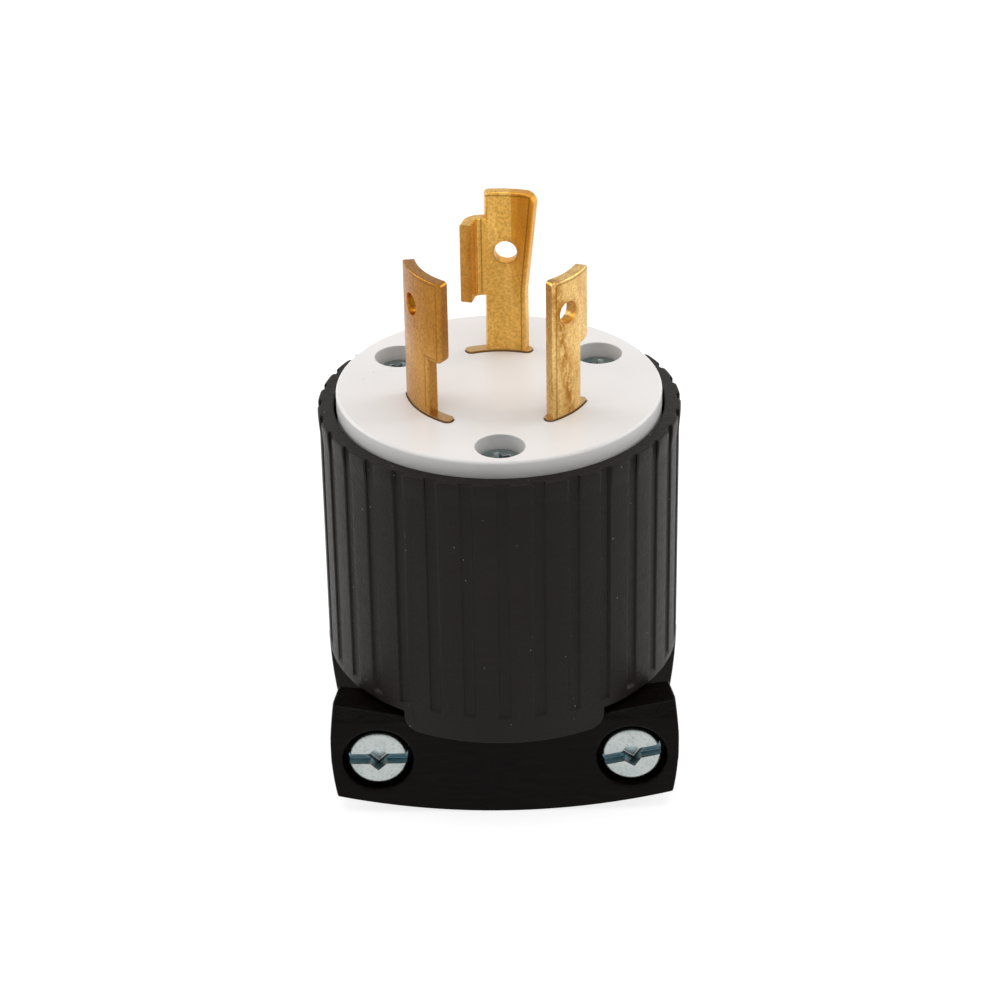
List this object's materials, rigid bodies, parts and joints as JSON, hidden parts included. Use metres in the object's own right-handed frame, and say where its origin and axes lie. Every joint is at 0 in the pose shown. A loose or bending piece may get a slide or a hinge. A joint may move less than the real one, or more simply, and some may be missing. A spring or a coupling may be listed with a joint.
{
  "type": "locking power plug",
  "caption": "Twist-locking power plug with hooked brass blades on a white face, a ribbed black shell and a screw-tightened cord clamp.",
  "frame": {"origin": "on the plug's axis, at the lowest point of the cord end", "axes": "+Z along the plug's axis to the blades, -Y to the separate clamp jaw and its screw heads, +X to the right seen from there"},
  "size_m": [0.0468, 0.0468, 0.0758],
  "materials": {
    "face_plastic": "smooth moulded nylon, satin white",
    "shell_plastic": "black moulded nylon, satin",
    "jaw_plastic": "black moulded nylon, satin",
    "block_plastic": "dark grey moulded thermoset",
    "blade_brass": "mottled bare brass",
    "terminal_brass": "bright brass",
    "ground_screw_green": "green coated steel",
    "screw_zinc": "blue-bright zinc plated steel"
  },
  "bodies": {
    "root": {"face": "face_plastic", "shell": "shell_plastic", "clamp_jaw": "jaw_plastic", "wiring_block": "block_plastic", "ground_blade": "blade_brass", "line_blade_left": "blade_brass", "line_blade_right": "blade_brass", "ground_wire_clamp": "terminal_brass", "line_wire_clamp_left": "terminal_brass", "line_wire_clamp_right": "terminal_brass", "ground_terminal_screw": "ground_screw_green", "line_terminal_screws": "terminal_brass", "face_screws": "screw_zinc", "clamp_screws": "screw_zinc", "clamp_nuts": "screw_zinc"}
  },
  "joints": []
}
